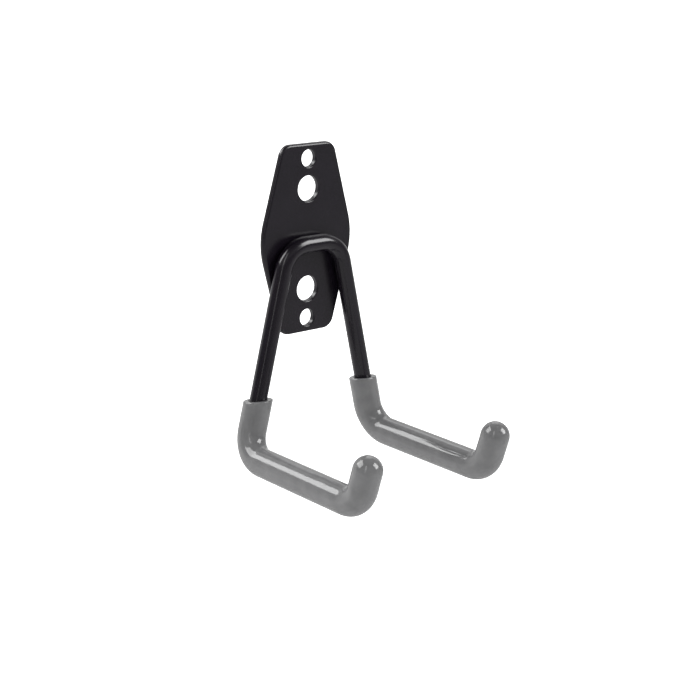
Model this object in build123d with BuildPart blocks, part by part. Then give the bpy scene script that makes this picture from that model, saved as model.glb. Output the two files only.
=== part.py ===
from build123d import *
import os
from math import cos, radians, sin, sqrt

# Bike wall hanger: a bent steel rod welded to a flat wall plate, with a soft sleeve on each hook.
# Millimetres. The origin is the middle of the plate's back face, which lies on the wall.
# +Z is up, and the hooks reach out towards -Y.

os.makedirs("parts", exist_ok=True)

# Back plate
plate_thickness = 2.0
plate_height = 66.0
plate_end_width = 22.1  # top and bottom edges, between their sharp corners
plate_middle_width = 40.6  # between the two side corners, before they are rounded
plate_corner_radius = 4.6
plate_side_radius = 26.0
plate_front_round = 1.0  # the press leaves a soft edge on the front
plate_back_chamfer = 0.3

# Screw holes, on the plate's centre line: a small one near each end and a large one inside it
outer_hole_diameter = 6.0
outer_hole_inset = 5.15  # plate's end to the hole's centre
inner_hole_diameter = 8.9
inner_hole_step = 10.35  # from the outer hole's centre, towards the middle
hole_rim_round = 0.5  # the punch draws the front rim in

# Rod, along its centre line. A corner is where two straight runs would meet without their bend.
rod_diameter = 6.0
rod_set_down = 0.05  # how far the rod is pressed flat where it is welded to the plate
rod_end_chamfer = 0.6
bar_drop = 1.1  # crossbar below the middle of the plate
bar_corner_spacing = 22.4
bar_bend_radius = 9.9
arm_spacing = 56.2
arm_drop = 72.2  # arms below the middle of the plate
arm_bend_radius = 9.0
arm_reach = 64.0  # wall to the corner of the tip's bend
tip_bend_radius = 8.8
tip_length = 13.6
tip_lean = 17.0  # degrees forward from upright

# Weld fillets in the valley between rod and plate
weld_leg = 0.9
weld_end_margin = 1.5  # the fillets stop this far inside the plate's outline

# Sleeves
sleeve_wall = 1.95
sleeve_clearance = 0.05
sleeve_leg_cover = 19.9  # along the leg, from the corner of its lower bend up to the middle of the mouth
sleeve_mouth_tilt = 8.0  # degrees. The mouth is cut level across the leg, and this much lower at its wall side
sleeve_end_gap = 0.3  # end of the rod to the end of the bore
sleeve_lip_round = 0.4
sleeve_mouth_chamfer = 0.4

outer_hole_spacing = plate_height - 2 * outer_hole_inset
inner_hole_spacing = outer_hole_spacing - 2 * inner_hole_step

rod_radius = rod_diameter / 2
rod_depth = plate_thickness + rod_radius - rod_set_down
sleeve_bore_radius = rod_radius + sleeve_clearance
sleeve_radius = sleeve_bore_radius + sleeve_wall
sleeve_trim_length = sleeve_radius  # spare tube above the mouth, which the slanting cut takes off

# Corners of the right-hand half of the rod
bar_corner = Vector(bar_corner_spacing / 2, -rod_depth, -bar_drop)
foot_corner = Vector(arm_spacing / 2, -rod_depth, -arm_drop)
tip_corner = Vector(arm_spacing / 2, -arm_reach, -arm_drop)
tip_direction = Vector(0, -sin(radians(tip_lean)), cos(radians(tip_lean)))
tip_end = tip_corner + tip_direction * tip_length


def mirrored(point):
    """The same point on the other side of the hanger."""
    return Vector(-point.X, point.Y, point.Z)


def square_to(line):
    """The plane across the start of a line."""
    return Plane(origin=line @ 0, z_dir=line % 0)


# Back plate: a six-sided outline with rounded corners, pressed out of sheet
with BuildPart() as back_plate:
    with BuildSketch(Plane.XZ) as plate_outline:
        with BuildLine():
            Polyline(
                (plate_end_width / 2, plate_height / 2),
                (plate_middle_width / 2, 0),
                (plate_end_width / 2, -plate_height / 2),
                (-plate_end_width / 2, -plate_height / 2),
                (-plate_middle_width / 2, 0),
                (-plate_end_width / 2, plate_height / 2),
                close=True,
            )
        make_face()
        side_corners = plate_outline.vertices().group_by(Axis.Y)[1]
        fillet(side_corners, radius=plate_side_radius)
        bottom_corners, *_, top_corners = plate_outline.vertices().group_by(Axis.Y)
        fillet(bottom_corners + top_corners, radius=plate_corner_radius)
    extrude(amount=plate_thickness)
    front_edges = back_plate.faces().sort_by(Axis.Y)[0].edges()
    back_edges = back_plate.faces().sort_by(Axis.Y)[-1].edges()
    fillet(front_edges, radius=plate_front_round)
    chamfer(back_edges, length=plate_back_chamfer)
    with BuildSketch(Plane.XZ):
        with GridLocations(0, outer_hole_spacing, 1, 2):
            Circle(outer_hole_diameter / 2)
        with GridLocations(0, inner_hole_spacing, 1, 2):
            Circle(inner_hole_diameter / 2)
    extrude(amount=plate_thickness, mode=Mode.SUBTRACT)
    front_rims = back_plate.faces().sort_by(Axis.Y)[0].inner_wires().edges()
    fillet(front_rims, radius=hole_rim_round)

back_plate.part.label = "back_plate"

# Hook rod: one length of round bar with six bends, flattened where it sits on the plate
half_corners = [bar_corner, foot_corner, tip_corner, tip_end]
half_radii = [bar_bend_radius, arm_bend_radius, tip_bend_radius]

with BuildPart() as hook_rod:
    with BuildLine() as rod_line:
        FilletPolyline(
            *[mirrored(corner) for corner in reversed(half_corners)],
            *half_corners,
            radius=half_radii[::-1] + half_radii,
        )
    with BuildSketch(square_to(rod_line.line)):
        Circle(rod_radius)
    sweep()
    end_faces = hook_rod.faces().filter_by(GeomType.PLANE)
    chamfer(end_faces.edges(), length=rod_end_chamfer)
    add(back_plate.part, mode=Mode.SUBTRACT)

hook_rod.part.label = "hook_rod"

# Weld metal: a low ridge along the rod's seat, which the rod parts into an outer and an inner fillet
seat_half_width = sqrt(rod_radius**2 - (rod_radius - rod_set_down) ** 2)
weld_half_width = seat_half_width + weld_leg
seat_corners = [
    Vector(corner.X, -plate_thickness, corner.Z)
    for corner in (mirrored(foot_corner), mirrored(bar_corner), bar_corner, foot_corner)
]

with BuildPart() as weld_metal:
    with BuildLine() as seat_line:
        FilletPolyline(*seat_corners, radius=bar_bend_radius)
    seat_start = seat_line.line % 0
    away_from_wall = Vector(0, -1, 0)
    with BuildSketch(
        Plane(origin=seat_line.line @ 0, x_dir=away_from_wall.cross(seat_start), z_dir=seat_start)
    ):
        with BuildLine():
            Polyline(
                (-weld_half_width, 0),
                (weld_half_width, 0),
                (seat_half_width, weld_leg),
                (-seat_half_width, weld_leg),
                close=True,
            )
        make_face()
    sweep()
    with BuildSketch(Plane.XZ.offset(plate_thickness)):
        add(plate_outline.sketch_local)
        offset(amount=-weld_end_margin)
    extrude(amount=weld_leg, mode=Mode.INTERSECT)
    add(hook_rod.part, mode=Mode.SUBTRACT)

inner_fillet, outer_fillet = weld_metal.solids().sort_by(SortBy.VOLUME)

with BuildPart() as weld_outer:
    add(outer_fillet)

weld_outer.part.label = "weld_outer"

with BuildPart() as weld_inner:
    add(inner_fillet)

weld_inner.part.label = "weld_inner"

# Sleeves: soft tubes that follow the rod's two lower bends and close in a round dome over its end
leg_direction = (bar_corner - foot_corner).normalized()
sleeve_mouth = foot_corner + leg_direction * sleeve_leg_cover
sleeve_start = sleeve_mouth + leg_direction * sleeve_trim_length
mouth_direction = Vector(0, sin(radians(sleeve_mouth_tilt)), cos(radians(sleeve_mouth_tilt)))
bore_end = tip_end + tip_direction * sleeve_end_gap

with BuildPart() as sleeve_right:
    with BuildLine() as sleeve_line:
        FilletPolyline(sleeve_start, foot_corner, tip_corner, tip_end, radius=half_radii[1:])
    with BuildSketch(square_to(sleeve_line.line)):
        Circle(sleeve_radius)
    sweep()
    with Locations(tip_end):
        Sphere(sleeve_radius)
    with BuildLine() as bore_line:
        FilletPolyline(sleeve_start, foot_corner, tip_corner, bore_end, radius=half_radii[1:])
    with BuildSketch(square_to(bore_line.line)):
        Circle(sleeve_bore_radius)
    sweep(mode=Mode.SUBTRACT)
    split(bisect_by=Plane(origin=sleeve_mouth, z_dir=mouth_direction), keep=Keep.BOTTOM)
    mouth_face = sleeve_right.faces().filter_by(GeomType.PLANE).sort_by_distance(sleeve_mouth)[0]
    bore_rim, lip_rim = mouth_face.edges().sort_by(SortBy.LENGTH)
    chamfer(bore_rim, length=sleeve_mouth_chamfer)
    fillet(lip_rim, radius=sleeve_lip_round)

sleeve_right.part.label = "sleeve_right"

with BuildPart() as sleeve_left:
    add(sleeve_right.part)
    mirror(about=Plane.YZ, mode=Mode.REPLACE)

sleeve_left.part.label = "sleeve_left"

for piece in (back_plate, hook_rod, weld_outer, weld_inner, sleeve_left, sleeve_right):
    export_step(piece.part, f"parts/{piece.part.label}.step")
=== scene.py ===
from math import cos, pi, radians, sin, tan

import bpy
from mathutils import Matrix, Vector

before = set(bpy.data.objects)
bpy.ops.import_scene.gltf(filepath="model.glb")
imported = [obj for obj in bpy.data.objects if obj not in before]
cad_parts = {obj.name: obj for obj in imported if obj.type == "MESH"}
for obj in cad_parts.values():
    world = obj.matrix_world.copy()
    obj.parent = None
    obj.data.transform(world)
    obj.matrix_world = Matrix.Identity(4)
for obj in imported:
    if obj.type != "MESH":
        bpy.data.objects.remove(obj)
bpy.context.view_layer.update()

# Lengths are in metres where nothing else is said.

# Camera, placed where it stood for the photograph
camera_place = Vector((-0.33594, -0.42054, 0.11178))
camera_heading = radians(40.363)  # from +Y towards +X
camera_dip = radians(15.736)
camera_roll = radians(1.085)
camera_lens = 81.77  # millimetres, on a 36 mm sensor
camera_near = 0.01
camera_far = 50

# Studio. An azimuth is measured round the object from -Y towards +X, and a height up from the level.
floor_height = -0.30
floor_size = 16.0
floor_paint = 0.8
floor_glow = 0.48  # light that the floor sends up, as a lit table does
floor_lift = 0.85  # the same for the camera, so that the floor reads as white where no shadow falls

# Soft boxes: the azimuth and height that each stands at, the width and height of its face seen from the
# object, all four in degrees, and the brightness of the face
box_distance = 5.0
soft_boxes = {
    "key_box": (42, 33.5, 28, 33, 9.4),
    "rim_box": (-134, 42, 46.5, 34, 6.6),
    "upper_strip": (-56.5, 37, 6.5, 29, 4.2),
    "lower_strip": (-58, 12, 6, 20, 2.2),
    "rear_box": (135, 45, 25, 26, 1.3),
}

# Room round the object: brightness by height in degrees, in front of the object and behind it
front_levels = {-90: 0.62, -30: 0.60, -15: 0.50, 0: 0.19, 15: 0.17, 30: 0.38, 90: 0.08}
rear_levels = {-90: 0.40, -30: 0.80, -15: 1.00, 0: 0.80, 15: 0.60, 30: 1.20, 90: 0.04}
rear_azimuth = radians(160)
rear_from = radians(70)  # the rear levels begin at this angle away from that azimuth
rear_fully = radians(61)  # and from this angle inwards they are alone

# Finishes. Tones are the darkest and the lightest, as linear red, green and blue.
# Widths of marks and heights of relief are in millimetres.
MILLIMETRE = 0.001
noise_low, noise_high = 0.25, 0.75  # the middle half of a noise, which holds nearly all of it

# Black powder coat: clouds vary its tone and gloss, and an orange peel lies over all of it
coat_tones = (0.0044, 0.0030, 0.0058), (0.0060, 0.0042, 0.0078)
coat_cloud_width = 9.0
coat_cloud_detail = 3.0
coat_gloss_change = 0.02  # up and down from the roughness
coat_peel_width = 0.7
coat_peel_height = 0.004
plate_roughness = 0.25
rod_roughness = 0.19
weld_roughness = 0.40
weld_lump_width = 1.6
weld_lump_height = 0.12

# Grey soft plastic: a mottle varies its tone and gloss, under faint runs and a fine grain
plastic_tones = (0.116, 0.116, 0.118), (0.145, 0.145, 0.147)
plastic_roughness = 0.08, 0.12
plastic_mottle_width = 4.0
plastic_mottle_detail = 5.0
plastic_run_width = 7.0
plastic_run_detail = 1.0
plastic_run_height = 0.06
plastic_grain_width = 0.5
plastic_grain_height = 0.002


# Helpers


def towards(azimuth, height):
    """Unit vector from the object to a light at that azimuth and height."""
    return Vector((sin(azimuth) * cos(height), -cos(azimuth) * cos(height), sin(height)))


def node(tree, kind, **sockets):
    """A shader node of that kind, with its input sockets set by name."""
    made = tree.nodes.new(kind)
    for name, value in sockets.items():
        made.inputs[name.replace("_", " ")].default_value = value
    return made


def new_tree(owner):
    """An owner's emptied node tree."""
    owner.use_nodes = True
    owner.node_tree.nodes.clear()
    return owner.node_tree


def grey(level):
    """A neutral colour."""
    return (level, level, level, 1.0)


def noise(tree, place, width, detail=2.0):
    """Noise in the object's own space, with marks that are that many millimetres wide."""
    made = node(tree, "ShaderNodeTexNoise", Scale=1 / (width * MILLIMETRE), Detail=detail)
    tree.links.new(place.outputs["Object"], made.inputs["Vector"])
    return made.outputs["Fac"]


def spread(tree, source, low, high):
    """The middle half of a noise, spread between two values."""
    made = node(tree, "ShaderNodeMapRange", From_Min=noise_low, From_Max=noise_high, To_Min=low, To_Max=high)
    tree.links.new(source, made.inputs["Value"])
    return made.outputs["Result"]


def between(tree, source, tones):
    """A colour that goes from the first tone to the second with the middle half of a noise."""
    made = tree.nodes.new("ShaderNodeMix")
    made.data_type = "RGBA"
    for end, tone in zip("AB", tones):
        made.inputs[end].default_value = (*tone, 1.0)
    tree.links.new(spread(tree, source, 0.0, 1.0), made.inputs["Factor"])
    return made.outputs["Result"]


def relief(tree, source, height, below=None):
    """A bump of that height in millimetres, on top of another."""
    made = node(tree, "ShaderNodeBump", Distance=height * MILLIMETRE)
    tree.links.new(source, made.inputs["Height"])
    if below is not None:
        tree.links.new(below, made.inputs["Normal"])
    return made.outputs["Normal"]


def surface(name):
    """A new material, its tree, its place node and its principled shader."""
    material = bpy.data.materials.new(name)
    tree = new_tree(material)
    place = tree.nodes.new("ShaderNodeTexCoord")
    shader = tree.nodes.new("ShaderNodeBsdfPrincipled")
    output = tree.nodes.new("ShaderNodeOutputMaterial")
    tree.links.new(shader.outputs["BSDF"], output.inputs["Surface"])
    return material, tree, place, shader


# Materials


def powder_coat(name, roughness, lump_height=0.0):
    """Smooth black powder coat, with lumps under it where it covers weld metal."""
    material, tree, place, shader = surface(name)
    cloud = noise(tree, place, coat_cloud_width, coat_cloud_detail)
    peel = noise(tree, place, coat_peel_width)
    lumps = noise(tree, place, weld_lump_width)
    normal = relief(tree, lumps, lump_height)
    normal = relief(tree, peel, coat_peel_height, below=normal)
    gloss_range = roughness - coat_gloss_change, roughness + coat_gloss_change
    tree.links.new(between(tree, cloud, coat_tones), shader.inputs["Base Color"])
    tree.links.new(spread(tree, cloud, *gloss_range), shader.inputs["Roughness"])
    tree.links.new(normal, shader.inputs["Normal"])
    return material


def soft_plastic(name):
    """Dipped grey soft plastic, glossy and mottled, with faint runs and a fine grain."""
    material, tree, place, shader = surface(name)
    mottle = noise(tree, place, plastic_mottle_width, plastic_mottle_detail)
    runs = noise(tree, place, plastic_run_width, plastic_run_detail)
    grain = noise(tree, place, plastic_grain_width)
    normal = relief(tree, runs, plastic_run_height)
    normal = relief(tree, grain, plastic_grain_height, below=normal)
    tree.links.new(between(tree, mottle, plastic_tones), shader.inputs["Base Color"])
    tree.links.new(spread(tree, mottle, *plastic_roughness), shader.inputs["Roughness"])
    tree.links.new(normal, shader.inputs["Normal"])
    return material


def dress():
    """Gives every node of the hanger its material."""
    plate_coat = powder_coat("black_coat_plate", plate_roughness)
    rod_coat = powder_coat("black_coat_rod", rod_roughness)
    weld_coat = powder_coat("black_coat_weld", weld_roughness, lump_height=weld_lump_height)
    plastic = soft_plastic("grey_soft_plastic")
    finishes = {
        "back_plate": plate_coat,
        "hook_rod": rod_coat,
        "weld_outer": weld_coat,
        "weld_inner": weld_coat,
        "sleeve_left": plastic,
        "sleeve_right": plastic,
    }
    for name, material in finishes.items():
        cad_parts[name].material_slots[0].material = material


# Studio


def pale_floor():
    """A plain floor some way below, which the camera sees as white and which keeps the shadows."""
    bpy.ops.mesh.primitive_plane_add(size=floor_size, location=(0, 0, floor_height))
    floor = bpy.context.object
    floor.name = "floor"
    floor.visible_glossy = False
    material = bpy.data.materials.new("pale_floor")
    tree = new_tree(material)
    paint = node(tree, "ShaderNodeBsdfDiffuse", Color=grey(floor_paint))
    lift = node(tree, "ShaderNodeEmission", Color=grey(1.0))
    path = tree.nodes.new("ShaderNodeLightPath")
    level = node(tree, "ShaderNodeMapRange", To_Min=floor_glow, To_Max=floor_lift)
    both = tree.nodes.new("ShaderNodeAddShader")
    output = tree.nodes.new("ShaderNodeOutputMaterial")
    tree.links.new(path.outputs["Is Camera Ray"], level.inputs["Value"])
    tree.links.new(level.outputs["Result"], lift.inputs["Strength"])
    tree.links.new(paint.outputs["BSDF"], both.inputs[0])
    tree.links.new(lift.outputs["Emission"], both.inputs[1])
    tree.links.new(both.outputs["Shader"], output.inputs["Surface"])
    floor.data.materials.append(material)


def profile(tree, height, levels):
    """A brightness that follows the height of a direction, from 0 straight down to 1 straight up."""
    made = tree.nodes.new("ShaderNodeValToRGB")
    stops = made.color_ramp.elements
    places = [(1 + sin(radians(angle))) / 2 for angle in levels]
    colours = [grey(level) for level in levels.values()]
    lowest, *middle, highest = zip(places, colours)
    stops[0].position, stops[0].color = lowest
    stops[-1].position, stops[-1].color = highest
    for place, colour in middle:
        stops.new(place).color = colour
    tree.links.new(height, made.inputs["Fac"])
    return made.outputs["Color"]


def surroundings():
    """White for the camera, and for all other rays a dim room that is brighter behind the object."""
    world = bpy.data.worlds.new("studio")
    bpy.context.scene.world = world
    tree = new_tree(world)
    place = tree.nodes.new("ShaderNodeTexCoord")
    parts = tree.nodes.new("ShaderNodeSeparateXYZ")
    height = node(tree, "ShaderNodeMapRange", From_Min=-1.0, From_Max=1.0)
    facing = tree.nodes.new("ShaderNodeVectorMath")
    facing.operation = "DOT_PRODUCT"
    facing.inputs[1].default_value = towards(rear_azimuth, 0.0)
    edge = node(tree, "ShaderNodeMapRange", From_Min=cos(rear_from), From_Max=cos(rear_fully))
    edge.interpolation_type = "SMOOTHSTEP"
    wall = tree.nodes.new("ShaderNodeMix")
    wall.data_type = "RGBA"
    path = tree.nodes.new("ShaderNodeLightPath")
    room = node(tree, "ShaderNodeBackground", Strength=1.0)
    white = node(tree, "ShaderNodeBackground", Color=grey(1.0), Strength=1.0)
    shown = tree.nodes.new("ShaderNodeMixShader")
    output = tree.nodes.new("ShaderNodeOutputWorld")
    link = tree.links.new
    link(place.outputs["Generated"], parts.inputs["Vector"])
    link(parts.outputs["Z"], height.inputs["Value"])
    link(place.outputs["Generated"], facing.inputs[0])
    link(facing.outputs["Value"], edge.inputs["Value"])
    link(edge.outputs["Result"], wall.inputs["Factor"])
    link(profile(tree, height.outputs["Result"], front_levels), wall.inputs["A"])
    link(profile(tree, height.outputs["Result"], rear_levels), wall.inputs["B"])
    link(wall.outputs["Result"], room.inputs["Color"])
    link(path.outputs["Is Camera Ray"], shown.inputs["Fac"])
    link(room.outputs["Background"], shown.inputs[1])
    link(white.outputs["Background"], shown.inputs[2])
    link(shown.outputs["Shader"], output.inputs["Surface"])


def soft_box(name, azimuth, height, width, tall, glow):
    """A soft box with an even face that measures those angles from the object."""
    lamp = bpy.data.lights.new(name, "AREA")
    lamp.shape = "RECTANGLE"
    lamp.size = 2 * box_distance * tan(radians(width / 2))
    lamp.size_y = 2 * box_distance * tan(radians(tall / 2))
    lamp.energy = glow * pi * lamp.size * lamp.size_y
    direction = towards(radians(azimuth), radians(height))
    placed = bpy.data.objects.new(name, lamp)
    placed.location = direction * box_distance
    placed.rotation_euler = direction.to_track_quat("Z", "Y").to_euler()
    placed.visible_camera = False
    bpy.context.scene.collection.objects.link(placed)


def camera():
    """The camera, turned by its heading and dip and then rolled about its own axis."""
    ahead = Vector((
        sin(camera_heading) * cos(camera_dip),
        cos(camera_heading) * cos(camera_dip),
        -sin(camera_dip),
    ))
    level_right = Vector((cos(camera_heading), -sin(camera_heading), 0))
    level_up = level_right.cross(ahead)
    right = cos(camera_roll) * level_right + sin(camera_roll) * level_up
    up = cos(camera_roll) * level_up - sin(camera_roll) * level_right
    turn = Matrix((right, up, -ahead)).transposed().to_4x4()
    lens = bpy.data.cameras.new("camera")
    lens.lens = camera_lens
    lens.clip_start = camera_near
    lens.clip_end = camera_far
    placed = bpy.data.objects.new("camera", lens)
    placed.matrix_world = Matrix.Translation(camera_place) @ turn
    bpy.context.scene.collection.objects.link(placed)
    bpy.context.scene.camera = placed


dress()
pale_floor()
surroundings()
for box_name, box in soft_boxes.items():
    soft_box(box_name, *box)
camera()
bpy.context.scene.view_settings.view_transform = "Standard"
